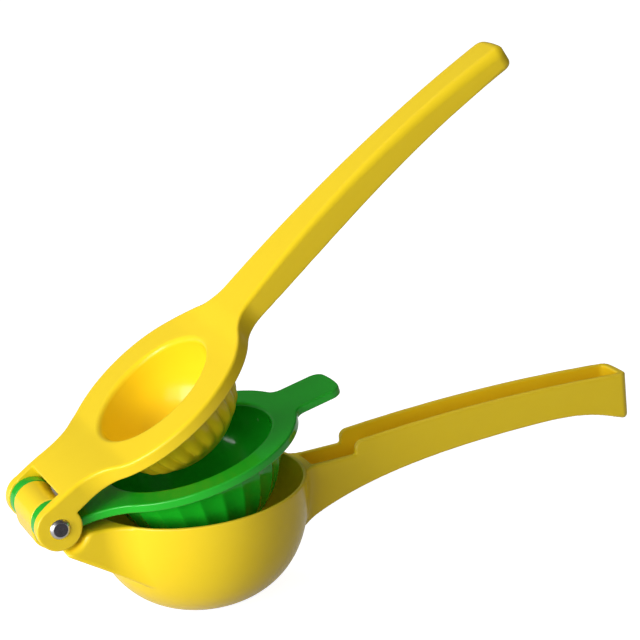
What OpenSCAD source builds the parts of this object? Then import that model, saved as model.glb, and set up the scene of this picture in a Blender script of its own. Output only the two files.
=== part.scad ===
// Hinged citrus squeezer with a lemon bowl, a lime insert and a fluted press on one hinge pin.
// Millimetres, +Z up. The origin is the middle of the bowl's flat base, and the handles run along +X.
// Every piece is drawn closed, measured from the hinge axis, and then swung open on the pin.

/* [Hinge] */
// Distance from the bowl's axis to the hinge axis
hinge_reach = 55.5; // [54:0.5:60]
// Height of the hinge axis above the bowl's rim
hinge_rise = 4.3; // [4:0.1:5]
// Radius of the knuckle in the middle of the hinge
knuckle_r = 7.6; // [7:0.1:7.8]
// Width of the knuckle
knuckle_w = 20.2; // [18:0.2:24]
// Width of each insert ear
insert_ear_w = 4.85; // [4:0.05:5.5]
// Width of each press ear
press_ear_w = 4.15; // [3.5:0.05:5]
// Radius of the press and insert ears
ear_r = 8; // [7.5:0.1:8.2]
// Radius of the seats that the ears turn in, below them on the neck
seat_r = 10.2; // [9.5:0.1:11]
// Gap between one ear and the next, along the pin
side_gap = 0.15; // [0.1:0.05:0.3]

/* [Hinge pin] */
// Diameter of the pin
pin_d = 5; // [4:0.1:6]
// Clearance around the pin
pin_gap = 0.05; // [0.03:0.01:0.1]
// Diameter of each pin head
head_d = 7.1; // [6.6:0.1:9]
// Height of each pin head
head_h = 1.1; // [0.8:0.1:2]
// Bevel around each pin head
head_bevel = 0.9; // [0.3:0.1:1]

/* [Lemon bowl] */
// Outside radius of the bowl at its rim
bowl_r = 39.2; // [38.6:0.1:41]
// Depth of the bowl from its rim to its flat base
bowl_depth = 42.4; // [41:0.2:48]
// Squareness of the bowl's side view, where 2 is an ellipse
bowl_square = 2.4; // [2.1:0.05:2.8]
// Wall thickness of the bowl
bowl_wall = 2; // [1.6:0.1:2.6]
// Radius of the flat base
base_r = 9.5; // [8:0.5:12]
// Number of drain slots in the bottom
bowl_drains = 6; // [4:1:8]
// Width of a drain slot
bowl_drain_w = 3.2; // [2:0.1:4]
// Distance from the bowl's axis to the inner end of a drain slot
bowl_drain_in = 7; // [6:0.5:9]
// Length of a drain slot
bowl_drain_len = 11; // [8:0.5:13]

/* [Bowl neck] */
// Radius of the plan curve between the neck and the bowl
neck_flare_r = 25; // [20:1:30]
// Height of the neck's lower lip below the hinge axis
neck_lip_drop = 10.1; // [9.8:0.1:12]
// Slope of the neck's underside
neck_slope = 34; // [30:1:38]

/* [Lower handle] */
// Distance from the hinge axis to the end of the lower handle
lower_end_x = 227.4; // [215:1:240]
// Width of the lower handle
lower_w = 15.8; // [14:0.2:18]
// Radius of the plan curve between the bowl and the lower handle
lower_flare_r = 8; // [6:0.5:12]
// Clearance between the thumb tab and the step in the side walls
tab_gap = 1.6; // [0.8:0.1:4]
// Depth of the low walls beside the bowl, below the hinge axis
low_wall_drop = 5.2; // [5:0.1:6.5]
// Distance from the hinge axis to the highest point of the handle's top edges
crest_x = 172; // [160:1:185]
// Height of the top edges there, above the hinge axis
crest_z = 1.9; // [1:0.1:2]
// Radius of the long curve of the top edges
crest_r = 700; // [650:10:1200]
// Wall thickness of the trough
trough_wall = 2; // [1.6:0.1:2.4]
// Thickness of the end wall
trough_end = 3; // [2:0.1:4]
// Width of the land between the bowl's rim and the trough
trough_land = 3.1; // [2.5:0.1:6]
// Depth of the handle's root, below the hinge axis
root_drop = 26.4; // [24:0.2:28]
// How far inside the bowl's rim the handle's underside starts
root_inset = 2.7; // [1.5:0.1:3.5]
// Distance from the hinge axis to the waist, where the handle is thinnest
waist_x = 188; // [180:1:195]
// Depth of the underside at the waist, below the hinge axis
waist_drop = 11.5; // [10:0.1:13]
// Depth of the underside at the handle's end, below the hinge axis
tail_drop = 19.4; // [15:0.2:22]
// Rounding of the corners at the step and at the end
lower_corner = 2.4; // [1:0.2:3]

/* [Lime insert] */
// Opening angle of the insert
insert_open = 12; // [6:0.5:25]
// How far the insert's ring reaches out past the bowl's rim
insert_lip = 0.3; // [0:0.1:1]
// Thickness of the ring
insert_t = 3.2; // [2.8:0.1:3.3]
// Half of the insert's width beside the ears
insert_arm_half = 16.3; // [16:0.1:17]
// Radius of the plan curve between the arms and the ring
insert_flare_r = 25; // [20:1:30]
// Clearance between the cup and the bowl's wall
cup_gap = 4.2; // [3.6:0.1:6]
// Depth of the cup below its ring, outside
cup_depth = 34; // [32:0.5:36]
// Squareness of the cup's side view
cup_square = 2.4; // [2.1:0.05:2.8]
// Wall thickness of the cup
cup_wall = 2.1; // [1.8:0.1:2.5]
// Number of flutes around the outside of the cup
cup_flutes = 20; // [16:1:24]
// Depth of a flute
cup_flute = 1.1; // [0.6:0.1:1.2]
// Number of drain slots in the cup's bottom
cup_drains = 6; // [4:1:8]
// Width of a cup drain slot
cup_drain_w = 2.6; // [2:0.1:3.5]
// Distance from the cup's axis to the inner end of a drain slot
cup_drain_in = 5; // [4.5:0.5:7]
// Length of a cup drain slot
cup_drain_len = 10; // [7:0.5:11]
// Length of the thumb tab past the ring
tab_len = 17.8; // [16:0.2:19]
// Width of the thumb tab
tab_w = 20; // [17:0.2:22]
// Radius of the tab's corners
tab_corner = 3.6; // [2:0.2:5]
// Radius of the plan curve between the ring and the tab
tab_flare_r = 4; // [3:0.5:6]

/* [Press] */
// Opening angle of the press
press_open = 33.5; // [28:0.5:60]
// How far the press ring stays back from the edge of the bowl's rim
press_inset = 0.7; // [-0.3:0.1:1.7]
// Height of the ring's top above the hinge axis
press_top = 4.6; // [4.2:0.1:5.5]
// Thickness of the press ring
press_t = 4.9; // [4:0.1:4.9]
// Rounding of the ring's top edge
press_round = 1.6; // [1:0.1:2]
// Radius of the plan curve between the arms and the ring
press_flare_r = 12; // [10:0.5:14]
// Distance from the hinge axis to where the tops of the arms sink into the ring
arm_end = 21.5; // [20:0.5:24]
// Distance from the hinge axis to the inner edge of the window between the ears
window_x = 8.2; // [8.2:0.1:9]
// Room for the fruit between the dome's lobes and the cup's wall
fruit_gap = 5.7; // [4.5:0.1:6.1]
// Depth of the dome below the ring
dome_depth = 25.4; // [24.6:0.2:28]
// Squareness of the dome's side view
dome_square = 2.4; // [2.1:0.05:2.8]
// Wall between the hollow and the bottom of the grooves
hollow_wall = 1.4; // [1.1:0.1:3.4]
// Rounding of the hollow's mouth
hollow_round = 3; // [2:0.1:3.5]
// Wall at the tip of the dome
dome_wall = 2.6; // [2.2:0.1:3.4]
// Number of lobes around the dome
lobes = 20; // [16:1:22]
// Depth of the grooves between the lobes
dome_flute = 1.3; // [0.6:0.1:1.5]

/* [Upper handle] */
// Distance from the hinge axis to the tip of the upper handle
upper_end_x = 228.2; // [216:1:240]
// Half of the handle's width where it leaves the ring
upper_root_half = 11.6; // [10.5:0.1:12]
// Half of the width that its sides are drawn in to, behind the ring
upper_mid_half = 7.9; // [7:0.1:8.5]
// Half of the width that they are drawn in to along the grip
upper_grip_half = 7.2; // [6.5:0.1:8]
// Half of its width at the tip
upper_tip_half = 9; // [8:0.1:10]
// Radius of the plan curve between the ring and the handle
upper_flare_r = 12; // [8:0.5:14]
// Height of the handle's back where it leaves the ring, above the hinge axis
upper_root_z = 6.7; // [6:0.1:7.5]
// Height that the back's curve is pulled up to behind the ring
upper_back_z = 13.2; // [12:0.1:15]
// Height that it is pulled up to along the grip
upper_grip_z = 14.3; // [12.5:0.1:16]
// Height of the back at the tip
upper_tip_z = 8.2; // [7.5:0.1:10]
// Height of the side walls' lower edges near the tip
upper_edge_z = 6; // [5.9:0.1:6.3]
// Depth of the tip's lower edge below the hinge axis
upper_tip_drop = 0.5; // [0:0.1:0.6]
// Rounding of the tip's corners
upper_tip_r = 3.6; // [1:0.2:3.8]
// Wall thickness of the channel under the handle
channel_wall = 2.2; // [1.6:0.1:2.6]

/* [Hidden] */
$fn = 96;
cut = 1;          // how far a cutter runs past what it cuts
curve_steps = 12; // straight steps along a free curve
flare_steps = 8;  // straight steps around a plan fillet
side_steps = 14;  // straight steps along a bowl's side view
weld = 0.8;       // how far a plan curve runs into the ring that it joins
flute_swell = 1.25; // radius of a flute's back, over half of its pitch

// Pulls of the free curves, along and across
root_pull = [22, 11.4];
waist_pull = [40, 16];
tail_pull = [14, 1.35];
arm_pull = [4.5, 2.3];
handle_overlap = 4; // how far inside the ring the upper handle's curves start
handle_slope = 8;   // length of the slope from the ring up to the handle's back
flare_inset = 0.6;  // how far inside the handle's sides its flare at the ring starts

// Stations along the pin, each measured from the middle of the hinge
insert_in = knuckle_w / 2 + side_gap;
insert_out = insert_in + insert_ear_w;
press_in = insert_out + side_gap;
press_out = press_in + press_ear_w;
hole_r = pin_d / 2 + pin_gap;

// Levels measured from the hinge axis
rim_z = -hinge_rise;
stack_gap = 0.15;
insert_z = rim_z + stack_gap;
insert_top = insert_z + insert_t;
press_z = press_top - press_t;

// Radii that follow the bowl's, from the insert's ring and cup to the dome and its hollow
insert_r = bowl_r + insert_lip;
press_r = bowl_r - press_inset;
cup_r = bowl_r - bowl_wall - cup_gap - cup_wall;
dome_r = cup_r - fruit_gap;
hollow_r = dome_r - dome_flute - hollow_wall;

// Distances from the hinge axis to the thumb tab's end and to the step just past it
tab_end_x = hinge_reach + insert_r + tab_len;
step_x = tab_end_x + tab_gap;

// Full depth of a squared ellipse that is cut off at the flat base
bowl_h = bowl_depth / squared(base_r, bowl_r, 1, bowl_square);

yellow = "#F7C92A";
green = "#1C9A33";
steel = "#6E6C6A";

// ---- shared shapes -------------------------------------------------------------------------------------------

// Height left at distance x on a squared ellipse of half width r and height h
function squared(x, r, h, n) = h * pow(1 - pow(x / r, n), 1 / n);

// Quarter of a squared ellipse below z = 0, from its rim to its lowest point
function bowl_curve(r, h, n) = [
    for (i = [0:side_steps])
        let (a = 90 * i / side_steps)
        [r * pow(cos(a), 2 / n), -h * pow(sin(a), 2 / n)]
];

// Points along a Bezier curve with four control points
function bezier(a, b, c, d) = [
    for (i = [0:curve_steps])
        let (t = i / curve_steps, s = 1 - t)
        s * s * s * a + 3 * s * s * t * b + 3 * s * t * t * c + t * t * t * d
];

// The same curve for control points spaced evenly between two distances
function even_bezier(x0, x1, z) = bezier(
    [x0, z[0]], [x0 + (x1 - x0) / 3, z[1]], [x1 - (x1 - x0) / 3, z[2]], [x1, z[3]]
);

function reversed(list) = [for (i = [len(list) - 1:-1:0]) list[i]];

// Mirror image of an outline's upper half, for the lower half
function flipped(list) = [for (p = reversed(list)) [p[0], -p[1]]];

// How far a fillet of radius f has its centre from the ring's axis, along the handles
function flare_reach(half, f, r) = sqrt(pow(r + f, 2) - pow(half + f, 2));

// Half of a plan that runs from x at a half width into a ring of radius r, along a concave fillet
function flare_points(x, half, f, r) =
    let (reach = flare_reach(half, f, r), last = atan2(half + f, reach))
    concat(
        [[x, half]],
        [for (i = [0:flare_steps])
            let (a = -90 + (90 - last) * i / flare_steps)
            [hinge_reach - reach + f * cos(a), half + f + f * sin(a)]],
        [[hinge_reach, r * sin(last)]]
    );

module at_hinge() {
    translate([-hinge_reach, 0, bowl_depth + hinge_rise]) children();
}

module swung(angle) {
    rotate([0, -angle, 0]) children();
}

module on_ring_axis(z) {
    translate([hinge_reach, 0, z]) children();
}

// Cylinder along the hinge axis
module barrel(r, y0, y1) {
    translate([0, y1, 0]) rotate([90, 0, 0]) cylinder(r = r, h = y1 - y0);
}

module both_sides() {
    children();
    mirror([0, 1, 0]) children();
}

// Side view drawn in X and Z, made solid across the middle
module slab(half) {
    rotate([90, 0, 0]) linear_extrude(height = 2 * half, center = true) children();
}

// Plan drawn in X and Y, made solid between two heights
module plan(z0, z1) {
    translate([0, 0, z0]) linear_extrude(height = z1 - z0) children();
}

// Rounds the outward corners of an outline
module rounded(r) {
    offset(r = r, $fn = 32) offset(delta = -r) children();
}

// Ring with arms that flare out of it towards the hinge
module armed_ring(half, f, r) {
    side = flare_points(0, half, f, r - weld);
    polygon(concat(side, flipped(side)));
    translate([hinge_reach, 0]) circle(r = r);
}

// Arm that leaves a ring towards the handles' ends and stops at x1
module ring_tongue(half, f, r, x1) {
    side = [
        for (p = reversed(flare_points(2 * hinge_reach - x1, half, f, r - weld)))
            [2 * hinge_reach - p[0], p[1]]
    ];
    polygon(concat(side, flipped(side)));
}

// Round-backed flutes side by side around an upright column
module fluted_column(r, flute, count) {
    back_r = flute_swell * r * sin(180 / count);
    circle(r = r - flute);
    for (i = [0:count - 1])
        rotate(360 * (i + 0.5) / count) translate([r - back_r + weld / 2, 0]) circle(r = back_r, $fn = 32);
}

// Radial slots through the bottom of a bowl
module drains(count, width, inner, length, depth) {
    for (i = [0:count - 1])
        rotate(360 * i / count)
            translate([0, 0, -depth])
                linear_extrude(height = depth) {
                    translate([inner + width / 2, -width / 2]) square([length - width, width]);
                    translate([inner + width / 2, 0]) circle(d = width);
                    translate([inner + length - width / 2, 0]) circle(d = width);
                }
}

// ---- lemon bowl and lower handle -----------------------------------------------------------------------------

module bowl_outside() {
    on_ring_axis(rim_z)
        rotate_extrude()
            intersection() {
                polygon(concat([[0, 0]], bowl_curve(bowl_r, bowl_h, bowl_square)));
                translate([0, -bowl_depth]) square([bowl_r + cut, bowl_depth]);
            }
}

module bowl_inside() {
    on_ring_axis(rim_z)
        rotate_extrude()
            union() {
                polygon(concat([[0, 0]], bowl_curve(bowl_r - bowl_wall, bowl_h - bowl_wall, bowl_square)));
                square([bowl_r - bowl_wall, 2 * hinge_rise]);
            }
}

// Neck between the knuckle and the bowl. Its plan curve meets the bowl's own wall at every height.
module neck() {
    head = rim_z + cut;
    foot = -neck_lip_drop - (hinge_reach - bowl_r / 2) * tan(neck_slope);
    levels = 6;
    rows = [
        for (i = [0:levels])
            let (z = head + (foot - head) * i / levels)
            let (r = squared(max(0, rim_z - z), bowl_h, bowl_r, bowl_square))
            let (half = flare_points(-cut, press_out, neck_flare_r, r - weld))
            [for (p = concat(half, flipped(half))) [p[0], p[1], z]]
    ];
    across = len(rows[0]);
    points = [for (row = rows) for (p = row) p];
    walls = [
        for (i = [0:levels - 1]) for (j = [0:across - 1])
            let (k = (j + 1) % across)
            [i * across + j, (i + 1) * across + j, (i + 1) * across + k, i * across + k]
    ];
    top = [for (j = [0:across - 1]) j];
    bottom = reversed([for (j = [0:across - 1]) levels * across + j]);
    intersection() {
        polyhedron(points = points, faces = concat([top], [bottom], walls));
        slab(press_out + neck_flare_r)
            polygon([
                [0, -neck_lip_drop],
                [hinge_reach, -neck_lip_drop - hinge_reach * tan(neck_slope)],
                [hinge_reach, rim_z],
                [0, rim_z]
            ]);
    }
}

// Height of the trough's top edges
function crest(x) = crest_z - crest_r + sqrt(pow(crest_r, 2) - pow(x - crest_x, 2));

// Underside of the lower handle, from its root at the bowl to its end
function lower_belly(lift) = let (
    root = [hinge_reach + bowl_r - root_inset, lift - root_drop],
    waist = [waist_x, lift - waist_drop]
) concat(
    bezier(root, root + root_pull, waist - [waist_pull[0], 0], waist),
    bezier(
        waist,
        waist + [waist_pull[1], 0],
        [lower_end_x - tail_pull[0], lift - waist_drop - tail_pull[1]],
        [lower_end_x, lift - tail_drop]
    )
);

module lower_side() {
    top = [
        for (i = [0:curve_steps])
            let (x = lower_end_x + (step_x - lower_end_x) * i / curve_steps)
            [x, crest(x)]
    ];
    polygon(concat(
        [[hinge_reach, -low_wall_drop], [hinge_reach, -root_drop]],
        lower_belly(0),
        top,
        [[step_x, -low_wall_drop]]
    ));
}

module lower_handle() {
    difference() {
        intersection() {
            plan(-bowl_depth, crest_z + cut)
                rounded(lower_corner) ring_tongue(lower_w / 2, lower_flare_r, bowl_r, lower_end_x);
            slab(bowl_r) rounded(lower_corner) lower_side();
        }
        intersection() {
            plan(-bowl_depth, crest_z + 2 * cut) trough_plan();
            slab(bowl_r)
                polygon(concat(
                    [[hinge_reach, crest_z + 2 * cut], [hinge_reach, trough_wall - root_drop]],
                    lower_belly(trough_wall),
                    [[lower_end_x, crest_z + 2 * cut]]
                ));
        }
    }
}

module trough_plan() {
    difference() {
        intersection() {
            ring_tongue(lower_w / 2 - trough_wall, lower_flare_r + trough_wall, bowl_r, lower_end_x);
            translate([0, -bowl_r]) square([lower_end_x - trough_end, 2 * bowl_r]);
        }
        translate([hinge_reach, 0]) circle(r = bowl_r + trough_land);
    }
}

module lower_bowl() {
    color(yellow)
        at_hinge()
            difference() {
                union() {
                    bowl_outside();
                    neck();
                    barrel(knuckle_r, -knuckle_w / 2, knuckle_w / 2);
                    lower_handle();
                }
                bowl_inside();
                both_sides() barrel(seat_r, knuckle_w / 2, press_out + cut);
                barrel(hole_r, -knuckle_w, knuckle_w);
                on_ring_axis(rim_z)
                    translate([0, 0, -bowl_depth + 2 * bowl_wall])
                        drains(bowl_drains, bowl_drain_w, bowl_drain_in, bowl_drain_len, 3 * bowl_wall);
            }
}

// ---- lime insert ---------------------------------------------------------------------------------------------

module cup_outside() {
    outer_r = cup_r + cup_wall;
    intersection() {
        on_ring_axis(insert_z)
            rotate_extrude()
                polygon(concat([[0, insert_t / 2], [outer_r, insert_t / 2]], bowl_curve(outer_r, cup_depth, cup_square)));
        plan(insert_z - cup_depth - cut, insert_top)
            translate([hinge_reach, 0]) fluted_column(outer_r, cup_flute, cup_flutes);
    }
}

module cup_inside() {
    on_ring_axis(insert_z)
        rotate_extrude()
            union() {
                polygon(concat([[0, 0]], bowl_curve(cup_r, cup_depth - cup_wall, cup_square)));
                square([cup_r, insert_t + cut]);
            }
}

module insert_plan() {
    difference() {
        armed_ring(insert_arm_half, insert_flare_r, insert_r);
        translate([-cut, -2 * insert_arm_half]) square([ear_r + 2 * side_gap + cut, 4 * insert_arm_half]);
    }
    rounded(tab_corner) ring_tongue(tab_w / 2, tab_flare_r, insert_r, tab_end_x);
}

module insert_ears() {
    both_sides() {
        barrel(ear_r - side_gap, insert_in, insert_out);
        translate([0, insert_in, insert_z]) cube([2 * ear_r, insert_ear_w, insert_t]);
    }
}

module lime_insert() {
    color(green)
        at_hinge()
            swung(insert_open)
                difference() {
                    union() {
                        plan(insert_z, insert_top) insert_plan();
                        cup_outside();
                        insert_ears();
                    }
                    cup_inside();
                    barrel(seat_r, -insert_in, insert_in);
                    barrel(hole_r, -press_out, press_out);
                    on_ring_axis(insert_z)
                        translate([0, 0, 2 * cup_wall - cup_depth])
                            drains(cup_drains, cup_drain_w, cup_drain_in, cup_drain_len, 3 * cup_wall);
                }
}

// ---- press and upper handle ----------------------------------------------------------------------------------

module press_ring() {
    edge_r = press_r - press_round;
    on_ring_axis(press_z)
        rotate_extrude()
            union() {
                square([edge_r, press_t]);
                square([press_r, press_t - press_round]);
                translate([edge_r, press_t - press_round]) circle(r = press_round);
            }
}

// Dome under the ring, with its flutes
module dome_outside() {
    intersection() {
        on_ring_axis(press_z)
            rotate_extrude()
                polygon(concat([[0, press_t / 2], [dome_r, press_t / 2]], bowl_curve(dome_r, dome_depth, dome_square)));
        plan(press_z - dome_depth - cut, press_top)
            translate([hinge_reach, 0]) fluted_column(dome_r, dome_flute, lobes);
    }
}

module hollow_inside() {
    on_ring_axis(press_top)
        rotate_extrude()
            union() {
                polygon(concat([[0, 0]], bowl_curve(hollow_r, press_t + dome_depth - dome_wall, dome_square)));
                square([hollow_r, ear_r]);
                difference() {
                    translate([0, -hollow_round]) square([hollow_r + hollow_round, hollow_round + cut]);
                    translate([hollow_r + hollow_round, -hollow_round]) circle(r = hollow_round);
                }
            }
}

module press_arms() {
    tops = bezier(
        [0, ear_r],
        [arm_end / 2, ear_r],
        [arm_end - arm_pull[0], press_top + arm_pull[1]],
        [arm_end, press_top]
    );
    intersection() {
        slab(press_out + press_flare_r)
            polygon(concat(tops, [[hinge_reach, press_top - cut], [hinge_reach, press_z], [0, press_z]]));
        plan(press_z, ear_r + cut) armed_ring(press_out, press_flare_r, press_r);
    }
    both_sides() barrel(ear_r, press_in, press_out);
}

// Distance where the upper handle's own curves start
function upper_start() = hinge_reach + press_r - handle_overlap;

function upper_back(lift) = even_bezier(
    upper_start(),
    upper_end_x,
    [upper_root_z + lift, upper_back_z + lift, upper_grip_z + lift, upper_tip_z + lift]
);

function upper_edge() = even_bezier(upper_start(), upper_end_x, [press_z, press_z, upper_edge_z, -upper_tip_drop]);

module upper_plan() {
    side = even_bezier(
        upper_start(),
        upper_end_x,
        [upper_root_half, upper_mid_half, upper_grip_half, upper_tip_half]
    );
    polygon(concat([[hinge_reach, upper_root_half]], side, flipped(side), [[hinge_reach, -upper_root_half]]));
    ring_tongue(upper_root_half - flare_inset, upper_flare_r, press_r, hinge_reach + press_r + upper_flare_r / 2);
}

module upper_handle() {
    intersection() {
        plan(-bowl_r, bowl_r) rounded(upper_tip_r) upper_plan();
        slab(bowl_r)
            rounded(upper_tip_r) polygon(concat(
                [[hinge_reach, press_z]],
                upper_edge(),
                reversed(upper_back(0)),
                [[upper_start() - handle_slope, press_top - cut], [hinge_reach, press_top - cut]]
            ));
    }
}

module channel() {
    intersection() {
        plan(-bowl_r, bowl_r)
            difference() {
                intersection() {
                    offset(delta = -channel_wall) upper_plan();
                    translate([0, -bowl_r]) square([upper_end_x - channel_wall, 2 * bowl_r]);
                }
                translate([hinge_reach, 0]) circle(r = press_r + channel_wall);
            }
        slab(bowl_r)
            polygon(concat(
                [[hinge_reach, -bowl_r], [hinge_reach, upper_root_z - channel_wall]],
                upper_back(-channel_wall),
                [[upper_end_x, -bowl_r]]
            ));
    }
}

module upper_press() {
    color(yellow)
        at_hinge()
            swung(press_open)
                difference() {
                    union() {
                        press_arms();
                        press_ring();
                        dome_outside();
                        upper_handle();
                    }
                    hollow_inside();
                    channel();
                    plan(-ear_r - cut, ear_r + cut)
                        translate([-ear_r - cut, -press_in]) square([window_x + ear_r + cut, 2 * press_in]);
                    barrel(hole_r, -press_out - cut, press_out + cut);
                }
}

// ---- hinge pin -----------------------------------------------------------------------------------------------

module hinge_pin() {
    color(steel)
        at_hinge()
            swung(press_open) {
                barrel(pin_d / 2, -press_out, press_out);
                both_sides()
                    translate([0, press_out, 0])
                        rotate([-90, 0, 0])
                            rotate_extrude()
                                polygon([
                                    [0, 0],
                                    [head_d / 2, 0],
                                    [head_d / 2, head_h - head_bevel],
                                    [head_d / 2 - head_bevel, head_h],
                                    [0, head_h]
                                ]);
            }
}

lower_bowl();
lime_insert();
upper_press();
hinge_pin();
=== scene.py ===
"""Hinged citrus squeezer: three powder-coated aluminium castings on one steel pin."""

import math

import bmesh
import bpy
import numpy as np
from mathutils import Matrix, Vector


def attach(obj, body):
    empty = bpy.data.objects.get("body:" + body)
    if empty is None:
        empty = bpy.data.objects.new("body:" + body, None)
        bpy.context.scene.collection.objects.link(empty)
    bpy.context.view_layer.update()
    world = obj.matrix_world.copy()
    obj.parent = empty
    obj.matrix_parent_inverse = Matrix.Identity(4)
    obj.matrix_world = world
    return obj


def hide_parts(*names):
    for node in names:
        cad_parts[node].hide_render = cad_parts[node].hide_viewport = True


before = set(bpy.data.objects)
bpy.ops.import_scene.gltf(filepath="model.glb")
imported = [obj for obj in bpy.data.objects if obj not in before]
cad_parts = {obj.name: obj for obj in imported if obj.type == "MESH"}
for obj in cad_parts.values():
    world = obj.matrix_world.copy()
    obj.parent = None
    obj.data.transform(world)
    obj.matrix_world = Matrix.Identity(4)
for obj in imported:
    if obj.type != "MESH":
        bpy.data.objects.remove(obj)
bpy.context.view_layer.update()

# Lengths are millimetres, measured from the hinge axis on the squeezer when it is shut:
# x along the handles, y along the pin, z up. Each casting is then swung open on the pin.
METRE = 1000                           # in millimetres
PIVOT = (-55.5, 0.0, 46.7)             # the hinge axis, from the middle of the bowl's base
REACH = 55.5                           # from the hinge axis to the middle of the bowl
INSERT_OPEN, PRESS_OPEN = 12.0, 33.5   # degrees
GRID = 0.55     # size of a mesh face
HANDLE_SPAN = (120, 210)               # the x between which mesh faces are longer along a handle
NORMAL_REACH = 0.25                    # how far to each side a surface's normal is measured

# Stations along the pin
KNUCKLE_Y, HOLE_R = 10.1, 2.55
INSERT_EAR = (10.25, 15.1)
PRESS_EAR = (15.25, 19.4)
EAR_R = 8.0
PIN_R, HEAD_R, HEAD_THICK = 2.5, 3.55, 1.1

# Lemon bowl
RIM_Z, BOWL_R, BOWL_H, RIM_WALL, BOWL_WALL, SQUARE = -4.3, 39.2, 43.0, 1.4, 2.2, 2.4
BASE_Z = RIM_Z - 42.4
KNUCKLE_R, HEEL_R, SEAT_R, NECK_ROOT = 7.6, 10.8, 9.8, 40.0
BOWL_SLOTS = {"count": 6, "inner": 7.0, "length": 11.0, "width": 3.2}
BOWL_SLOTS_BELOW = 25                  # the slots cut only what lies this far below the rim

# Lower handle
LOW_WALL_Z, STEP_X, TROUGH_HALF, LOWER_HALF = -5.2, 114.1, 5.9, 7.9
LOWER_END, LOWER_END_WALL = 227.4, 3.0

# Lime insert
PLATE_LOW, PLATE_TOP, INSERT_R = -4.15, -0.95, 39.49
CUP_R, CUP_H, CUP_WALL, CUP_SQUARE, FLUTE = 30.0, 31.4, 1.9, 1.8, 0.7
ARM_SEAT_R, ARM_HALF = 9.2, 16.3
TAB_END, TAB_HALF = 113.0, 10.15
CUP_SLOTS = {"count": 6, "inner": 5.0, "length": 10.0, "width": 2.6}
CUP_SLOTS_BELOW = 22                   # the same, below the plate

# Press and upper handle
RING_LOW, RING_TOP, RING_R = -0.3, 4.6, 38.5
DOME_R, DOME_H, LOBE = 23.9, 24.8, 1.5
HOLLOW_R, HOLLOW_H, HOLLOW_SQUARE = 22.9, 26.4, 2.5
WINDOW_X = 7.75                        # the edge of the window over the knuckle
UPPER_END, UPPER_ROOT, CHANNEL_WALL = 228.2, 12.07, 2.2

# Ribs around the cup and the dome: where they end, and the length over which they fade out past each end
RIBS = 25
CUP_RIBS = {"Upper end": -5, "Upper fade": 1, "Lower end": -24, "Lower fade": 12}
DOME_RIBS = {"Upper end": -7, "Upper fade": 3, "Lower end": -14, "Lower fade": 6}


# ---- solids as signed distances --------------------------------------------------------------------

def joined(a, b, r):
    """Two solids run together, with a fillet of radius r between them."""
    return np.maximum(r, np.minimum(a, b)) - np.hypot(np.maximum(r - a, 0), np.maximum(r - b, 0))


def trimmed(a, b, r):
    """What two solids share, with the edge between them rounded to radius r."""
    return np.minimum(-r, np.maximum(a, b)) + np.hypot(np.maximum(r + a, 0), np.maximum(r + b, 0))


def round_cup(rho, depth, r, h, square=SQUARE):
    """A cup turned about its axis, with a squared ellipse as its side view and straight above its mouth."""
    across = rho / r + 1e-5
    down = np.maximum(depth, 0) / h
    size = (across ** square + down ** square) ** (1 / square)
    climb = np.hypot(across ** (square - 1) / r, down ** (square - 1) / h) * size ** (1 - square)
    return (size - 1) / climb


def flared(along, wide, radius, half, fillet):
    """Plan of a disc with a straight arm that leaves it with a rolled fillet on each side."""
    reach = np.sqrt(np.maximum((radius + fillet) ** 2 - (half + fillet) ** 2, 0))
    from_x, from_y = along - reach, wide - half - fillet
    rolled = (from_x < 0) & ((half + fillet) * from_x > reach * from_y)
    arm = np.where(rolled, fillet - np.hypot(from_x, from_y), wide - half)
    return np.minimum(np.hypot(along, wide) - radius, np.maximum(arm, -along))


def radial_slots(x, y, rho, count, inner, length, width):
    """Slots that run outwards from a bowl's axis, seen from above."""
    pitch = 2 * math.pi / count
    turn = np.arctan2(y, x - REACH)
    turn = turn - pitch * np.round(turn / pitch)
    along = np.abs(rho * np.cos(turn) - inner - length / 2) - (length - width) / 2
    return np.hypot(np.maximum(along, 0), rho * np.sin(turn)) - width / 2


def ears(pivot, wide, span, r, edge):
    """A pair of round ears on the hinge axis. span is where each starts and ends along the pin."""
    middle, half = (span[0] + span[1]) / 2, (span[1] - span[0]) / 2
    return trimmed(pivot - r, np.abs(wide - middle) - half, edge)


# ---- side views of the handles ---------------------------------------------------------------------

def bezier(points, steps=64):
    """Points along a Bezier curve with four control points."""
    t = np.linspace(0, 1, steps + 1)[:, None]
    a, b, c, d = (np.array(p, float) for p in points)
    s = 1 - t
    return s ** 3 * a + 3 * s * s * t * b + 3 * s * t * t * c + t ** 3 * d


class Profile:
    """A height that changes along the handles, with the slope that turns it into a distance."""

    start, stop, step = -20, 245, 0.25

    def __init__(self, points, soften=0.0):
        """soften is the radius in millimetres over which corners are blurred."""
        points = np.array(points)
        self.x = np.arange(self.start, self.stop, self.step)
        self.z = np.interp(self.x, points[:, 0], points[:, 1])
        if soften:
            blur = 12
            reach = np.arange(-blur, blur + self.step, self.step)
            weights = np.exp(-0.5 * (reach / soften) ** 2)
            self.z = np.convolve(np.pad(self.z, len(reach) // 2, "edge"), weights / weights.sum(), "valid")
        self.cosine = 1 / np.hypot(1, np.gradient(self.z, self.x))

    def above(self, x, z):
        """Distance by which a point lies above the curve."""
        return (z - np.interp(x, self.x, self.z)) * np.interp(x, self.x, self.cosine)

    def at(self, x):
        return np.interp(x, self.x, self.z)


lower_belly = Profile(np.vstack([
    bezier([(92, -26.4), (114, -15), (148, -11.5), (188, -11.5)]),
    bezier([(188, -11.5), (204, -11.5), (213.4, -12.85), (LOWER_END, -19.4)])[1:],
]))

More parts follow.
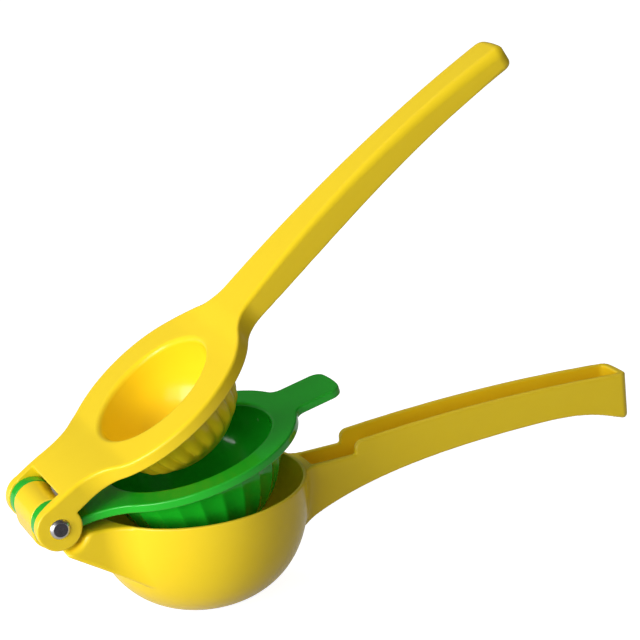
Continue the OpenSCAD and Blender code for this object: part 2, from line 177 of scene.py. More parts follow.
# The press's top runs from its ears down to the ring, level across it and then up into the handle's back
press_crown = Profile(np.vstack([
    [(-20, 8.1), (0, 8.1)],
    bezier([(0, 8.1), (14, 8.3), (20, 6.9), (31, RING_TOP)]),
    [(79, RING_TOP), (85, 5.1)],
    bezier([(90, 6.7), (136, 13.2), (182, 14.4), (228, 8.4)])[1:],
    [(245, 5.0)],
]), soften=1.3)
upper_edge = Profile(bezier([(90, -0.3), (136, -0.3), (182, 6.0), (228, -0.5)]))
upper_half = Profile(bezier([(90, UPPER_ROOT), (136, 8.13), (182, 7.28), (228, 9.5)]))


# ---- castings --------------------------------------------------------------------------------------

def bowl_neck(x, z, wide, pivot, level):
    """The arm from bowl to hinge, flared into the bowl in plan. Its shoulders make room for the ears."""
    slope, under_z, end_x, flare = math.radians(34), -10.1, -0.8, 15.0
    under_edge, top_edge, end_edge, seat_lip = 1.6, 1.2, 1.8, 2.2
    under = (under_z - z) * math.cos(slope) - x * math.sin(slope)
    neck = trimmed(flared(REACH - x, wide, level, PRESS_EAR[1], flare), under, under_edge)
    neck = trimmed(trimmed(neck, z - RIM_Z, top_edge), end_x - x, end_edge)
    neck = np.maximum(neck, x - NECK_ROOT)
    return trimmed(neck, -np.maximum(pivot - SEAT_R, KNUCKLE_Y - wide), seat_lip)


def bowl_knuckle(x, z, wide, pivot):
    """The barrel between the ears, with a heel under it that stays clear of the insert's plate."""
    side_edge = 0.5
    barrel = trimmed(pivot - KNUCKLE_R, wide - KNUCKLE_Y, side_edge)
    heel_x, heel_z, back_r, back_edge, front_edge = 3.6, -1.0, 11.7, 2.0, 1.5
    heel = trimmed(np.hypot(x - heel_x, z - heel_z) - back_r, pivot - HEEL_R, back_edge)
    heel = trimmed(heel, -KNUCKLE_R - x, front_edge)
    end_x, clear_x, clearance = 8, -4, 0.2
    clear = np.minimum(x - clear_x, z - PLATE_LOW + clearance)
    heel = np.maximum(np.maximum(np.maximum(heel, z), x - end_x), clear)
    return np.minimum(barrel, trimmed(heel, wide - KNUCKLE_Y, side_edge))


def lower_handle(x, y, z, wide, rho, level):
    """An open trough with a step in its walls."""
    crest_x, crest_z, crest_bend = 172, 1.9, 1400
    step_edge, step_fillet = 2.8, 0.9
    crest = crest_z - (x - crest_x) ** 2 / crest_bend
    top = joined(z - LOW_WALL_Z, trimmed(z - crest, STEP_X - x, step_edge), step_fillet)

    root_fillet, end_bend, end_edge = 8.0, 160, 2.8
    belly = -lower_belly.above(x, z)
    end = x - LOWER_END + y * y / end_bend
    side = trimmed(flared(x - REACH, wide, level, LOWER_HALF, root_fillet), end, end_edge)
    belly_edge = np.interp(x, (221, 226), (0.8, 2.4))
    handle = trimmed(side, belly, belly_edge)

    corner, root_corner, from_bowl, wall_edge = 1.8, 1.5, 3.1, 0.7
    trough = trimmed(wide - TROUGH_HALF, end + LOWER_END_WALL, corner)
    trough = trimmed(trimmed(trough, BOWL_R + from_bowl - rho, root_corner), belly + BOWL_WALL, corner)
    return trimmed(trimmed(handle, top, wall_edge), -trough, wall_edge)


def bowl_casting(x, y, z):
    """The lemon bowl with its hinge neck and the lower handle."""
    wide, rho, pivot = np.abs(y), np.hypot(x - REACH, y), np.hypot(x, z)
    outside = round_cup(rho, RIM_Z - z, BOWL_R, BOWL_H)
    inside = round_cup(rho, RIM_Z - z, BOWL_R - RIM_WALL, BOWL_H - BOWL_WALL)
    rim_edge, base_edge = 0.5, 1.0
    bowl = trimmed(trimmed(outside, z - RIM_Z, rim_edge), BASE_Z - z, base_edge)

    # The bowl's radius at each height, for neck and handle to run into. It stops shrinking at this share of
    # the bowl's depth
    lowest = 0.98
    level = BOWL_R * (1 - np.clip((RIM_Z - z) / BOWL_H, 0, lowest) ** SQUARE) ** (1 / SQUARE)
    knuckle_fillet = 0.8
    body = np.minimum(bowl, bowl_neck(x, z, wide, pivot, level))
    body = joined(body, bowl_knuckle(x, z, wide, pivot), knuckle_fillet)
    handle = np.maximum(lower_handle(x, y, z, wide, rho, level), REACH - x)
    body = trimmed(np.minimum(body, handle), -inside, rim_edge)

    slots = np.maximum(radial_slots(x, y, rho, **BOWL_SLOTS), z - RIM_Z + BOWL_SLOTS_BELOW)
    return np.maximum(trimmed(body, -slots, rim_edge), HOLE_R - pivot)


def insert_casting(x, y, z):
    """The lime cup with its flat rim, two hinge ears and a thumb tab."""
    wide, rho, pivot = np.abs(y), np.hypot(x - REACH, y), np.hypot(x, z)
    arm_flare, tab_flare, tab_bend, tab_corner = 25.0, 4.0, 90, 3.8
    arms = np.maximum(flared(REACH - x, wide, INSERT_R, ARM_HALF, arm_flare), -x)
    tab_end = x - TAB_END + y * y / tab_bend
    tab = trimmed(flared(x - REACH, wide, INSERT_R, TAB_HALF, tab_flare), tab_end, tab_corner)

    low_edge, top_edge, mouth_edge = 0.6, 0.55, 1.5
    inside = round_cup(rho, PLATE_LOW - z, CUP_R, CUP_H, CUP_SQUARE)
    mouth = trimmed(z - PLATE_TOP, -inside, mouth_edge)
    plate = trimmed(trimmed(np.minimum(arms, tab), PLATE_LOW - z, low_edge), mouth, top_edge)

    # The cup starts inside the plate. It is hollowed after the two are joined, so its wall stays even
    sunk, cup_fillet = 1.6, 0.9
    shell = round_cup(rho, PLATE_LOW - z, CUP_R + CUP_WALL - FLUTE, CUP_H + CUP_WALL, CUP_SQUARE)
    body = np.maximum(joined(plate, np.maximum(shell, z - PLATE_TOP + sunk), cup_fillet), -inside)

    # Ears on the pin, cut back where they pass the knuckle's fillet and the press's ears
    inset, edge, gap = 0.4, 0.4, 0.15
    body = np.minimum(body, ears(pivot, wide, INSERT_EAR, EAR_R - inset, edge))
    body = trimmed(body, -np.maximum(pivot - ARM_SEAT_R, wide - INSERT_EAR[0]), edge)
    body = trimmed(body, -np.maximum(pivot - EAR_R - gap, INSERT_EAR[1] - wide), gap)
    slots = np.maximum(radial_slots(x, y, rho, **CUP_SLOTS), z - PLATE_LOW + CUP_SLOTS_BELOW)
    return np.maximum(trimmed(body, -slots, edge), HOLE_R - pivot)


def press_casting(x, y, z):
    """The ring with its hollow dome, two hinge ears and the upper handle."""
    wide, rho, pivot = np.abs(y), np.hypot(x - REACH, y), np.hypot(x, z)
    mouth_edge, arm_flare, root_fillet = 2.0, 17.0, 12.0
    crown = press_crown.above(x, z)
    hollow = round_cup(rho, RING_TOP - z, HOLLOW_R, HOLLOW_H, HOLLOW_SQUARE)
    mouth = trimmed(crown, -hollow, mouth_edge)
    arms = np.maximum(flared(REACH - x, wide, RING_R, PRESS_EAR[1], arm_flare), -x)
    half = upper_half.at(x)
    grip = flared(x - REACH, wide + UPPER_ROOT - half, RING_R, UPPER_ROOT, root_fillet)

    # The end of the handle bulges in plan and slants outwards as it rises
    end_bend, end_lean, end_top, end_corner = 80, 0.15, 8, 4.4
    end = x - UPPER_END + y * y / end_bend + end_lean * (end_top - z)
    plan = np.minimum(arms, trimmed(grip, end, end_corner))
    back_edge = np.interp(x, (95, 150, 228), (1.2, 2.4, 3.8))
    foot_edge = np.interp(x, (205, 228), (0.6, 2.4))
    top_end_edge = 1.8
    top = trimmed(mouth, x - UPPER_END, top_end_edge)
    plate = trimmed(trimmed(plan, -upper_edge.above(x, z), foot_edge), top, back_edge)

    sunk_z, dome_fillet = 2.0, 0.8
    shell = np.maximum(round_cup(rho, RING_LOW - z, DOME_R, DOME_H), z - sunk_z)
    body = np.maximum(joined(plate, shell, dome_fillet), -hollow)

    # The upper handle is a channel that is open below
    end_wall, corner, wall_edge = 3.4, 1.5, 0.8
    channel = trimmed(wide - half + CHANNEL_WALL, crown + CHANNEL_WALL, corner)
    channel = np.maximum(trimmed(channel, x - UPPER_END + end_wall, corner), RING_R + CHANNEL_WALL - rho)
    body = trimmed(body, -channel, wall_edge)

    ear_edge, window_edge = 0.5, 0.35
    body = np.minimum(body, ears(pivot, wide, PRESS_EAR, EAR_R, ear_edge))
    body = trimmed(body, -np.maximum(x - WINDOW_X, wide - PRESS_EAR[0]), window_edge)
    return np.maximum(body, HOLE_R - pivot)


# ---- from a solid to a mesh ------------------------------------------------------------------------

def slope_of(solid, p, reach=0.08):
    """Direction in which the distance from a solid grows, at each point."""
    columns = []
    for axis in range(3):
        step = np.zeros(3)
        step[axis] = reach
        columns.append(solid(*(p + step).T) - solid(*(p - step).T))
    return np.stack(columns, 1) / (2 * reach)


def sampled(solid, low, high, grid, sparse):
    """A solid's distances on a grid with room to spare around it, and the places of the grid's planes."""
    stretch = 2.5
    xs = np.arange(low[0] - 2 * grid, high[0] + 3 * grid, grid)
    longer = np.arange(sparse[0], sparse[1], stretch * grid)
    xs = np.concatenate([xs[xs < sparse[0]], longer, xs[xs >= sparse[1]]])
    ys = np.arange(0, high[1] + 3 * grid, grid)
    zs = np.arange(low[2] - 2 * grid, high[2] + 3 * grid, grid)

    # Only one side of y = 0 is worked out, a few planes at a time to save memory
    field = np.empty((len(xs), len(ys), len(zs)), np.float32)
    planes = 6
    for i in range(0, len(xs), planes):
        field[i:i + planes] = solid(*np.meshgrid(xs[i:i + planes], ys, zs, indexing="ij"))
    field = np.concatenate([field[:, :0:-1], field], 1)
    return field, (xs, np.concatenate([-ys[:0:-1], ys]), zs)


def cell_points(field):
    """A point in each cell that the surface crosses, counted in cells, and each cell's point number."""
    solid_side = field < 0
    corners = [(a, b, c) for a in (0, 1) for b in (0, 1) for c in (0, 1)]
    n = np.array(field.shape) - 1
    count = sum(solid_side[a:a + n[0], b:b + n[1], c:c + n[2]].astype(np.int8) for a, b, c in corners)
    cells = np.argwhere((count > 0) & (count < 8))
    number = np.full(n, -1, np.int32)
    number[tuple(cells.T)] = np.arange(len(cells))

    # The point is the mean of the places where the surface crosses the cell's edges
    values = [field[tuple((cells + c).T)] for c in corners]
    total, hits = np.zeros((len(cells), 3)), np.zeros(len(cells))
    for p, a in enumerate(corners):
        for q, b in enumerate(corners):
            if q > p and sum(i != j for i, j in zip(a, b)) == 1:
                cross = (values[p] < 0) != (values[q] < 0)
                share = np.where(cross, values[p] / np.where(cross, values[p] - values[q], 1), 0)
                place = np.array(a) + share[:, None] * (np.array(b) - np.array(a))
                total += place * cross[:, None]
                hits += cross
    return cells + total / hits[:, None], number


def cell_quads(field, number):
    """A four-sided face across each grid edge that the surface crosses, facing out of the solid."""
    solid_side = field < 0
    unit = np.eye(3, dtype=int)
    quads = []
    for axis in range(3):
        step, u, v = unit[axis], unit[(axis + 1) % 3], unit[(axis + 2) % 3]
        far = tuple(slice(s, None) for s in step)
        near = tuple(slice(None, -1) if s else slice(None) for s in step)
        edge = np.argwhere(solid_side[near] != solid_side[far])
        faces = np.stack([number[tuple((edge - w).T)] for w in (0 * u, u, u + v, v)], 1)
        inner = solid_side[tuple(edge.T)]
        quads.append(np.where(inner[:, None], faces, faces[:, ::-1]))
    return np.concatenate(quads)


def settled(points, quads, solid, grid):
    """The points, spread evenly over the surface and drawn onto it."""
    farthest, least_steep = 0.5 * grid, 0.2
    start, end = quads.ravel(), np.roll(quads, -1, 1).ravel()
    share = np.maximum(np.bincount(start, minlength=len(points)), 1)
    for spread in (0.0, 0.5, 0.5, 0.5, 0.0, 0.0):
        middle = np.stack([np.bincount(start, points[end, k], len(points)) / share for k in range(3)], 1)
        points += spread * (middle - points)
        gap, slope = solid(*points.T), slope_of(solid, points)
        steepness = np.maximum((slope ** 2).sum(1), least_steep)
        move = -slope * (gap / steepness)[:, None]
        points += np.clip(move, -farthest, farthest)
    return points


def skin(solid, low, high, grid, sparse=(0, 0)):
    """Points, four-sided faces and normals of a closed skin over a solid.

    The solid is alike on both sides of y = 0. Between the two x in sparse, where the shape hardly changes
    along the handle, the faces are longer.
    """
    field, lines = sampled(solid, low, high, grid, sparse)
    points, number = cell_points(field)
    columns = [np.interp(points[:, k], np.arange(len(line)), line) for k, line in enumerate(lines)]
    points = np.stack(columns, 1)
    quads = cell_quads(field, number)
    points = settled(points, quads, solid, grid)
    normals = slope_of(solid, points, NORMAL_REACH)
    return points, quads, normals / np.linalg.norm(normals, axis=1)[:, None]


def mesh_of(name, points, faces, normals=None):
    """A smooth-shaded mesh in metres."""
    mesh = bpy.data.meshes.new(name)
    mesh.vertices.add(len(points))
    mesh.vertices.foreach_set("co", (np.asarray(points) / METRE).ravel())
    mesh.loops.add(faces.size)
    mesh.loops.foreach_set("vertex_index", faces.ravel())
    mesh.polygons.add(len(faces))
    mesh.polygons.foreach_set("loop_start", np.arange(len(faces)) * faces.shape[1])
    mesh.update(calc_edges=True)
    mesh.validate()
    mesh.polygons.foreach_set("use_smooth", np.ones(len(mesh.polygons), bool))
    if normals is not None:
        mesh.normals_split_custom_set_from_vertices(normals)
    return mesh


def swung_open(mesh, angle):
    """Swings a shut casting open on the pin and moves it to its place."""
    place = Matrix.Translation(Vector(PIVOT) / METRE)
    mesh.transform(place @ Matrix.Rotation(-math.radians(angle), 4, "Y"))


# ---- node trees ------------------------------------------------------------------------------------

def put(tree, kind, values=None, **settings):
    """Adds one node with its settings. values fills or links its inputs, by name or number."""
    node = tree.nodes.new(kind)
    for key, value in settings.items():
        setattr(node, key, value)
    for key, value in (values or {}).items():
        if isinstance(value, bpy.types.NodeSocket):
            tree.links.new(value, node.inputs[key])
        else:
            node.inputs[key].default_value = value
    return node


def linear(code):
    """An sRGB hex colour as the linear colour that a shader takes."""
    levels = [int(code[i:i + 2], 16) / 255 for i in (1, 3, 5)]
    return [v / 12.92 if v <= 0.04045 else ((v + 0.055) / 1.055) ** 2.4 for v in levels] + [1.0]


def per_metre(millimetres):
    """Scale of a pattern on Object coordinates whose features are this far apart."""
    return METRE / millimetres


def rib_tree():
    """Raises round-ended ribs, evenly spaced around a cup's axis, on the faces that are marked for them."""
    tree = bpy.data.node_groups.new("ribs_around_cup", "GeometryNodeTree")
    face = tree.interface
    face.new_socket("Geometry", in_out="OUTPUT", socket_type="NodeSocketGeometry")
    face.new_socket("Geometry", in_out="INPUT", socket_type="NodeSocketGeometry")
    face.new_socket("Rib count", in_out="INPUT", socket_type="NodeSocketInt")
    for name in ("Rib height", "Hollow share", "Axis distance", *CUP_RIBS):
        face.new_socket(name, in_out="INPUT", socket_type="NodeSocketFloat")
    face.new_socket("Finish", in_out="INPUT", socket_type="NodeSocketMaterial")
    given = put(tree, "NodeGroupInput").outputs
    position = put(tree, "GeometryNodeInputPosition").outputs[0]
    x, y, z = put(tree, "ShaderNodeSeparateXYZ", {0: position}).outputs

    # Across a rib: a round back with a crease on both sides, or a hollow with a sharp ridge on both sides
    out_x = put(tree, "ShaderNodeMath", {0: x, 1: given["Axis distance"]}, operation="SUBTRACT").outputs[0]
    turn = put(tree, "ShaderNodeMath", {0: y, 1: out_x}, operation="ARCTAN2").outputs[0]
    count = given["Rib count"]
    per_turn = put(tree, "ShaderNodeMath", {0: count, 1: math.tau}, operation="DIVIDE").outputs[0]
    pitch = put(tree, "ShaderNodeMath", {0: turn, 1: per_turn}, operation="MULTIPLY").outputs[0]
    nearest = put(tree, "ShaderNodeMath", {0: pitch}, operation="ROUND").outputs[0]
    offset = put(tree, "ShaderNodeMath", {0: pitch, 1: nearest}, operation="SUBTRACT").outputs[0]
    phase = put(tree, "ShaderNodeMath", {0: offset, 1: math.pi}, operation="MULTIPLY").outputs[0]
    back = put(tree, "ShaderNodeMath", {0: phase}, operation="COSINE").outputs[0]
    hollow = put(tree, "ShaderNodeMath", {0: offset, 1: offset}, operation="MULTIPLY").outputs[0]
    hollow = put(tree, "ShaderNodeMath", {0: hollow, 1: 4.0}, operation="MULTIPLY").outputs[0]
    across = put(tree, "ShaderNodeMix", {"Factor": given["Hollow share"], "A": back, "B": hollow})

    # Along a rib: from 1 on its straight part to 0 past its ends
    above = put(tree, "ShaderNodeMath", {0: z, 1: given["Upper end"]}, operation="SUBTRACT").outputs[0]
    above = put(tree, "ShaderNodeMath", {0: above, 1: given["Upper fade"]}, operation="DIVIDE").outputs[0]
    below = put(tree, "ShaderNodeMath", {0: given["Lower end"], 1: z}, operation="SUBTRACT").outputs[0]
    below = put(tree, "ShaderNodeMath", {0: below, 1: given["Lower fade"]}, operation="DIVIDE").outputs[0]
    past = put(tree, "ShaderNodeMath", {0: above, 1: below}, operation="MAXIMUM").outputs[0]
    past = put(tree, "ShaderNodeClamp", {"Value": past}).outputs[0]
    fade = put(tree, "ShaderNodeMath", {0: past, 1: math.pi}, operation="MULTIPLY").outputs[0]
    fade = put(tree, "ShaderNodeMath", {0: fade}, operation="COSINE").outputs[0]
    along = put(tree, "ShaderNodeMath", {0: fade, 1: 0.5, 2: 0.5}, operation="MULTIPLY_ADD").outputs[0]

    across = across.outputs["Result"]
    shape = put(tree, "ShaderNodeMath", {0: across, 1: along}, operation="MULTIPLY").outputs[0]
    marked = put(tree, "GeometryNodeInputNamedAttribute", {"Name": "ribbed"}, data_type="FLOAT").outputs[0]
    full = put(tree, "ShaderNodeMath", {0: given["Rib height"], 1: marked}, operation="MULTIPLY").outputs[0]
    height = put(tree, "ShaderNodeMath", {0: shape, 1: full}, operation="MULTIPLY").outputs[0]
    outward = put(tree, "GeometryNodeInputNormal").outputs[0]
    out = put(tree, "ShaderNodeVectorMath", {0: outward, "Scale": height}, operation="SCALE").outputs[0]
    moved = put(tree, "GeometryNodeSetPosition", {"Geometry": given["Geometry"], "Offset": out}).outputs[0]
    real = put(tree, "GeometryNodeRealizeInstances", {0: moved}).outputs[0]
    done = put(tree, "GeometryNodeSetMaterial", {"Geometry": real, "Material": given["Finish"]}).outputs[0]
    put(tree, "NodeGroupOutput", {0: done})
    return tree


def ribbed(mesh, tree, marked, inputs):
    """The mesh with ribs raised where it is marked, as a plain mesh."""
    mesh.attributes.new("ribbed", "FLOAT", "POINT").data.foreach_set("value", marked.astype(np.float32))
    piece = bpy.data.objects.new("casting_for_ribs", mesh)
    bpy.context.scene.collection.objects.link(piece)
    modifier = piece.modifiers.new("ribs", "NODES")
    modifier.node_group = tree
    sockets = {s.name: s.identifier for s in tree.interface.items_tree if s.in_out == "INPUT"}
    for name, value in inputs.items():
        modifier[sockets[name]] = value
    made = bpy.data.meshes.new_from_object(piece.evaluated_get(bpy.context.evaluated_depsgraph_get()))
    bpy.data.objects.remove(piece)
    return made


# ---- finishes --------------------------------------------------------------------------------------

NOISE_LOW, NOISE_HIGH = 0.3, 0.7       # most of a noise pattern lies between these


def blank(owner):
    """The node tree of a material or a world, emptied."""
    owner.use_nodes = True
    owner.node_tree.nodes.clear()
    return owner.node_tree


def from_hinge_axis(tree, where):
    """Distance of a shaded point from the pin's axis, in metres."""
    pin = [v / METRE for v in PIVOT]
    from_pin = put(tree, "ShaderNodeVectorMath", {0: where, 1: pin}, operation="SUBTRACT").outputs[0]
    flat = put(tree, "ShaderNodeVectorMath", {0: from_pin, 1: (1, 0, 1)}, operation="MULTIPLY").outputs[0]
    return put(tree, "ShaderNodeVectorMath", {0: flat}, operation="LENGTH").outputs["Value"]


def powder_coat(name, colour, deep, rough, specular):
    """Polyester powder coat, sprayed on cast aluminium and baked.

    The eye sees an even, saturated colour under a soft gloss. The film has a faint orange peel and is rubbed
    smoother where the ears turn against each other. Sharp edges are painted lighter: partly thinner film,
    partly painted highlight.
    """
    material = bpy.data.materials.new(name)
    tree = blank(material)
    where = put(tree, "ShaderNodeTexCoord").outputs["Object"]

    # Film thickness drifts over about 18 mm and shifts the colour a little
    drift = put(tree, "ShaderNodeTexNoise", {"Vector": where, "Scale": per_metre(18), "Detail": 2.0})
    film = put(tree, "ShaderNodeMapRange", {
        "Value": drift.outputs["Fac"], "From Min": NOISE_LOW, "From Max": NOISE_HIGH,
        "To Min": 0.0, "To Max": 0.35}).outputs[0]
    shade = put(tree, "ShaderNodeMix", {"Factor": film, "A": linear(colour), "B": linear(deep)},
                data_type="RGBA").outputs["Result"]
    # Sharp edges are painted lighter: partly for the thinner film there, partly as a painted highlight along
    # them
    sharp = put(tree, "ShaderNodeNewGeometry").outputs["Pointiness"]
    edge = put(tree, "ShaderNodeMapRange", {
        "Value": sharp, "From Min": 0.53, "From Max": 0.62, "To Min": 0.0, "To Max": 0.10}).outputs[0]
    edge_film_and_highlight = (1, 1, 0.9, 1)
    shade = put(tree, "ShaderNodeMix", {"Factor": edge, "A": shade, "B": edge_film_and_highlight},
                data_type="RGBA").outputs["Result"]

    # Handling leaves patches about 7 mm across that are a touch glossier
    touch = put(tree, "ShaderNodeTexNoise", {"Vector": where, "Scale": per_metre(7), "Detail": 4.0})
    gloss = put(tree, "ShaderNodeMapRange", {
        "Value": touch.outputs["Fac"], "From Min": NOISE_LOW, "From Max": NOISE_HIGH,
        "To Min": rough - 0.03, "To Max": rough + 0.04}).outputs[0]
    # Where the ears turn, the film is rubbed smoother up to 6 mm from the axis, and less and less up to 11 mm
    rubbed = put(tree, "ShaderNodeMapRange", {
        "Value": from_hinge_axis(tree, where), "From Min": 6 / METRE, "From Max": 11 / METRE,
        "To Min": 0.05, "To Max": 0.0}).outputs[0]
    gloss = put(tree, "ShaderNodeMath", {0: gloss, 1: rubbed}, operation="SUBTRACT").outputs[0]

    # Orange peel, drawn 1.8 mm across, a little coarser than the real 1 mm so that it shows
    peel = put(tree, "ShaderNodeTexNoise", {"Vector": where, "Scale": per_metre(1.8), "Detail": 1.0})
    bump = put(tree, "ShaderNodeBump", {
        "Strength": 0.06, "Distance": 0.3 / METRE, "Height": peel.outputs["Fac"]}).outputs[0]
    paint = put(tree, "ShaderNodeBsdfPrincipled", {
        "Base Color": shade, "Roughness": gloss, "IOR": 1.5, "Specular IOR Level": specular, "Normal": bump})
    put(tree, "ShaderNodeOutputMaterial", {"Surface": paint.outputs[0]})
    return material


def faced_steel():
    """Mild steel wire, headed and faced on a lathe.

    The eye sees a small dark mirror with fine rings around its middle and a bright line on its bevel.
    """
    material = bpy.data.materials.new("faced_steel_pin")
    tree = blank(material)
    where = put(tree, "ShaderNodeTexCoord").outputs["Object"]
    radius = from_hinge_axis(tree, where)

    # Tool marks, drawn 0.35 mm apart, coarser than the real 0.1 mm so that they show
    turns = math.tau * per_metre(0.35)
    rings = put(tree, "ShaderNodeMath", {0: radius, 1: turns}, operation="MULTIPLY").outputs[0]
    rings = put(tree, "ShaderNodeMath", {0: rings}, operation="SINE").outputs[0]
    bump = put(tree, "ShaderNodeBump", {
        "Strength": 0.15, "Distance": 0.05 / METRE, "Height": rings}).outputs[0]
    # Scuffs about 1.2 mm apart
    scuffs = put(tree, "ShaderNodeTexNoise", {"Vector": where, "Scale": per_metre(1.2), "Detail": 5.0})
    scuffs = scuffs.outputs["Fac"]
    rough = put(tree, "ShaderNodeMapRange", {
        "Value": scuffs, "From Min": NOISE_LOW, "From Max": NOISE_HIGH,
        "To Min": 0.22, "To Max": 0.36}).outputs[0]

    # The face is painted dark, a painted reflection of dark surroundings in its mirror face; the bevel around
    # it is cut bright
    face = put(tree, "ShaderNodeMix", {"Factor": scuffs, "A": linear("#5A585E"), "B": linear("#424046")},
               data_type="RGBA").outputs["Result"]
    bright = put(tree, "ShaderNodeMapRange", {
        "Value": radius, "From Min": 2.4 / METRE, "From Max": 2.6 / METRE,
        "To Min": 0.0, "To Max": 1.0}).outputs[0]
    shade = put(tree, "ShaderNodeMix", {"Factor": bright, "A": face, "B": linear("#C9C8CC")},
                data_type="RGBA").outputs["Result"]
    metal = put(tree, "ShaderNodeBsdfPrincipled", {
        "Base Color": shade, "Metallic": 1.0, "Roughness": rough, "Normal": bump})
    put(tree, "ShaderNodeOutputMaterial", {"Surface": metal.outputs[0]})
    return material


yellow = powder_coat("yellow_powder_coat", "#FDDB24", "#F9D41E", rough=0.22, specular=0.3)
green = powder_coat("green_powder_coat", "#1CBA26", "#18B020", rough=0.11, specular=0.36)
steel = faced_steel()


# ---- pieces ----------------------------------------------------------------------------------------

def finish_piece(name, mesh, material, body, node):
    """Puts a piece in the scene, for a solid of the frame and on its body."""
    mesh.name = name
    mesh.materials.clear()
    mesh.materials.append(material)
    piece = bpy.data.objects.new(name, mesh)
    bpy.context.scene.collection.objects.link(piece)
    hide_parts(node)
    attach(piece, body)


def outer_wall(points, mouth_z, r, h, square, below, within):
    """Marks the points past a cup of this size, this far below its mouth and within this radius."""
    rho = np.hypot(points[:, 0] - REACH, points[:, 1])
    past = round_cup(rho, mouth_z - points[:, 2], r, h, square) > 0
    return past & (points[:, 2] < mouth_z - below) & (rho < within)


def rib_inputs(height, hollow_share, ends, finish):
    """Inputs of the rib tree, in metres."""
    inputs = {"Rib count": RIBS, "Rib height": height / METRE, "Hollow share": hollow_share,
              "Axis distance": REACH / METRE, "Finish": finish}
    return inputs | {name: z / METRE for name, z in ends.items()}


def bowl_mesh():
    low, high, coarser = (-8, -40, -48), (228, 40, 8), 1.2 * GRID
    points, faces, normals = skin(bowl_casting, low, high, coarser, HANDLE_SPAN)
    return mesh_of("bowl", points, faces, normals)


def insert_mesh(ribs):
    low, high = (-8, -40, -39), (113, 40, 8)
    points, faces, normals = skin(insert_casting, low, high, GRID)
    marked = outer_wall(points, PLATE_LOW, CUP_R + 0.5, CUP_H + 1.0, CUP_SQUARE,
                        below=0.4, within=CUP_R + CUP_WALL + 0.5)
    return ribbed(mesh_of("insert", points, faces, normals), ribs, marked,
                  rib_inputs(FLUTE, 1.0, CUP_RIBS, green))


def press_mesh(ribs):
    low, high = (-8, -39, -27), (228, 39, 14)
    points, faces, normals = skin(press_casting, low, high, GRID, HANDLE_SPAN)
    marked = outer_wall(points, RING_LOW, DOME_R - 0.4, DOME_H - 0.4, SQUARE,
                        below=0.9, within=DOME_R + 0.6)
    return ribbed(mesh_of("press", points, faces, normals), ribs, marked,
                  rib_inputs(LOBE, 0.0, DOME_RIBS, yellow))


def pin_mesh():
    """The pin with its two bevelled heads, turned about its own axis."""
    seat_y = PRESS_EAR[1]
    face_y = seat_y + HEAD_THICK
    # Radius and depth under the face, from the middle of the face over the bevel to the side
    bevel = [(0.0, 0.0), (2.2, 0.0), (2.5, 0.03), (2.75, 0.12), (3.35, 0.62), (3.5, 0.82), (HEAD_R, 1.0)]
    end = [(r, face_y - depth) for r, depth in bevel] + [(HEAD_R, seat_y), (PIN_R, seat_y)]
    outline = end + [(r, -y) for r, y in reversed(end)]
    steps = 96
    build = bmesh.new()
    rings = []
    for r, y in outline:
        turns = [2 * math.pi * k / steps for k in range(steps)] if r else [0.0]
        rings.append([build.verts.new((r * math.cos(t), y, r * math.sin(t))) for t in turns])
    for a, b in zip(rings, rings[1:]):
        for k in range(steps):
            corners = [a[k % len(a)], b[k % len(b)], b[(k + 1) % len(b)], a[(k + 1) % len(a)]]
            build.faces.new(list(dict.fromkeys(corners)))
    bmesh.ops.scale(build, vec=[1 / METRE] * 3, verts=build.verts)
    bmesh.ops.recalc_face_normals(build, faces=build.faces)
    mesh = bpy.data.meshes.new("pin")
    build.to_mesh(mesh)
    build.free()
    mesh.polygons.foreach_set("use_smooth", np.ones(len(mesh.polygons), bool))
    mesh.set_sharp_from_angle(angle=math.radians(40))
    return mesh


ribs = rib_tree()

bowl = bowl_mesh()
swung_open(bowl, 0)
finish_piece("lemon_bowl_casting", bowl, yellow, "bowl", "lower_bowl")

insert = insert_mesh(ribs)
swung_open(insert, INSERT_OPEN)
finish_piece("lime_insert_casting", insert, green, "insert", "lime_insert")

press = press_mesh(ribs)
swung_open(press, PRESS_OPEN)
finish_piece("press_casting", press, yellow, "press", "upper_press")

pin = pin_mesh()
swung_open(pin, PRESS_OPEN)
finish_piece("hinge_pin_steel", pin, steel, "press", "hinge_pin")


# ---- studio, in metres -----------------------------------------------------------------------------

LENS, SENSOR = 123.43, 36.0            # millimetres
EYE = Vector((-0.2210, -0.6856, 0.3298))
RIGHT = Vector((0.9117, -0.3988, -0.0984))
DOWN = Vector((-0.2094, -0.2451, -0.9466))
AHEAD = Vector((0.3534, 0.8837, -0.3070))

AIM = Vector((0.03, 0.0, 0.06))        # where the lamps point
LAMP_DISTANCE, LAMP_SIZE = 1.4, 0.7
FLOOR_HALF = 20.0


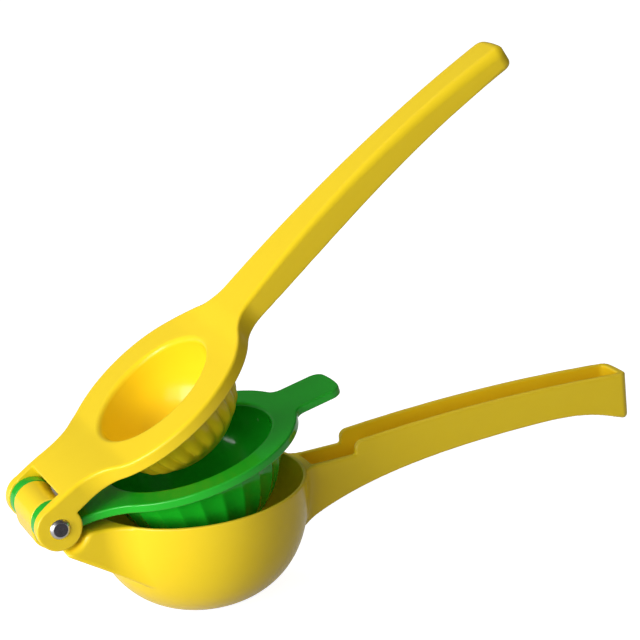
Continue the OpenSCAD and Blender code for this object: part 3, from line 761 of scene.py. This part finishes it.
def white_paper():
    """Seamless white paper. It stays white to the eye and still takes the object's shadow."""
    material = bpy.data.materials.new("white_paper_floor")
    tree = blank(material)
    where = put(tree, "ShaderNodeTexCoord").outputs["Object"]
    # Tooth of the paper, drawn 2 mm across, coarser than the real 0.3 mm
    tooth = put(tree, "ShaderNodeTexNoise", {"Vector": where, "Scale": per_metre(2), "Detail": 3.0})
    bump = put(tree, "ShaderNodeBump", {
        "Strength": 0.02, "Distance": 0.1 / METRE, "Height": tooth.outputs["Fac"]}).outputs[0]
    paper = put(tree, "ShaderNodeBsdfDiffuse", {"Color": linear("#B4B4B2"), "Normal": bump}).outputs[0]

    # It glows white for the camera, less for a mirrored view of it, and lights nothing itself
    white, mirrored = 0.92, 0.35
    path = put(tree, "ShaderNodeLightPath").outputs
    seen = put(tree, "ShaderNodeMath", {0: path["Is Camera Ray"], 1: path["Is Transmission Ray"]},
               operation="MAXIMUM").outputs[0]
    seen = put(tree, "ShaderNodeMath", {0: path["Is Glossy Ray"], 1: mirrored, 2: seen},
               operation="MULTIPLY_ADD").outputs[0]
    strength = put(tree, "ShaderNodeMath", {0: seen, 1: white}, operation="MULTIPLY").outputs[0]
    glow = put(tree, "ShaderNodeEmission", {"Color": (1, 1, 1, 1), "Strength": strength}).outputs[0]
    both = put(tree, "ShaderNodeAddShader", {0: paper, 1: glow}).outputs[0]
    put(tree, "ShaderNodeOutputMaterial", {"Surface": both})
    return material


def lay_floor():
    half = FLOOR_HALF * METRE
    corners = np.array([(-half, -half, 0), (half, -half, 0), (half, half, 0), (-half, half, 0)])
    paper = mesh_of("floor", corners, np.array([[0, 1, 2, 3]]))
    paper.materials.append(white_paper())
    floor = bpy.data.objects.new("floor", paper)
    bpy.context.scene.collection.objects.link(floor)


def set_camera():
    lens = bpy.data.cameras.new("camera")
    lens.lens, lens.sensor_width = LENS, SENSOR
    camera = bpy.data.objects.new("camera", lens)
    turned = Matrix([(RIGHT[i], -DOWN[i], -AHEAD[i]) for i in range(3)]).to_4x4()
    camera.matrix_world = Matrix.Translation(EYE) @ turned
    bpy.context.scene.collection.objects.link(camera)
    bpy.context.scene.camera = camera


def softbox(name, side, height, power):
    """A square lamp, side degrees to the left of the camera's own side and height degrees above the table."""
    toward = Vector((-AHEAD.x, -AHEAD.y, 0)).normalized()
    left = Vector((-RIGHT.x, -RIGHT.y, 0)).normalized()
    around, up = math.radians(side), math.radians(height)
    level = toward * math.cos(around) + left * math.sin(around)
    direction = level * math.cos(up) + Vector((0, 0, math.sin(up)))
    light = bpy.data.lights.new(name, "AREA")
    light.shape, light.size, light.energy = "SQUARE", LAMP_SIZE, power
    lamp = bpy.data.objects.new(name, light)
    turned = direction.to_track_quat("Z", "Y").to_matrix().to_4x4()
    lamp.matrix_world = Matrix.Translation(AIM + direction * LAMP_DISTANCE) @ turned
    bpy.context.scene.collection.objects.link(lamp)
    return lamp


def light_room():
    """A white room that lights the object less from its right than from its left."""
    world = bpy.data.worlds.new("studio")
    bpy.context.scene.world = world
    tree = blank(world)
    toward = put(tree, "ShaderNodeTexCoord").outputs["Generated"]
    side = put(tree, "ShaderNodeVectorMath", {0: toward, 1: list(-RIGHT)},
               operation="DOT_PRODUCT").outputs["Value"]
    soft = put(tree, "ShaderNodeMapRange", {
        "Value": side, "From Min": -1.0, "From Max": 1.0, "To Min": 0.16, "To Max": 0.34}).outputs[0]
    shiny = put(tree, "ShaderNodeMapRange", {
        "Value": side, "From Min": -0.6, "From Max": 1.0, "To Min": 0.05, "To Max": 0.20}).outputs[0]
    path = put(tree, "ShaderNodeLightPath").outputs
    glossy = path["Is Glossy Ray"]
    level = put(tree, "ShaderNodeMix", {"Factor": glossy, "A": soft, "B": shiny}).outputs["Result"]
    seen = put(tree, "ShaderNodeMath", {0: path["Is Camera Ray"], 1: path["Is Transmission Ray"]},
               operation="MAXIMUM").outputs[0]
    level = put(tree, "ShaderNodeMix", {"Factor": seen, "A": level, "B": 1.0}).outputs["Result"]
    back = put(tree, "ShaderNodeBackground", {"Color": (1, 1, 1, 1), "Strength": level}).outputs[0]
    put(tree, "ShaderNodeOutputWorld", {0: back})


lay_floor()
set_camera()
softbox("softbox_left", side=48, height=10, power=16.5)
softbox("softbox_front", side=20, height=10, power=4.4)
# The lamp above fills the tops from behind and draws no glint of its own
softbox("softbox_overhead", side=150, height=60, power=4.7).visible_glossy = False
light_room()

bpy.context.scene.view_settings.view_transform = "Standard"
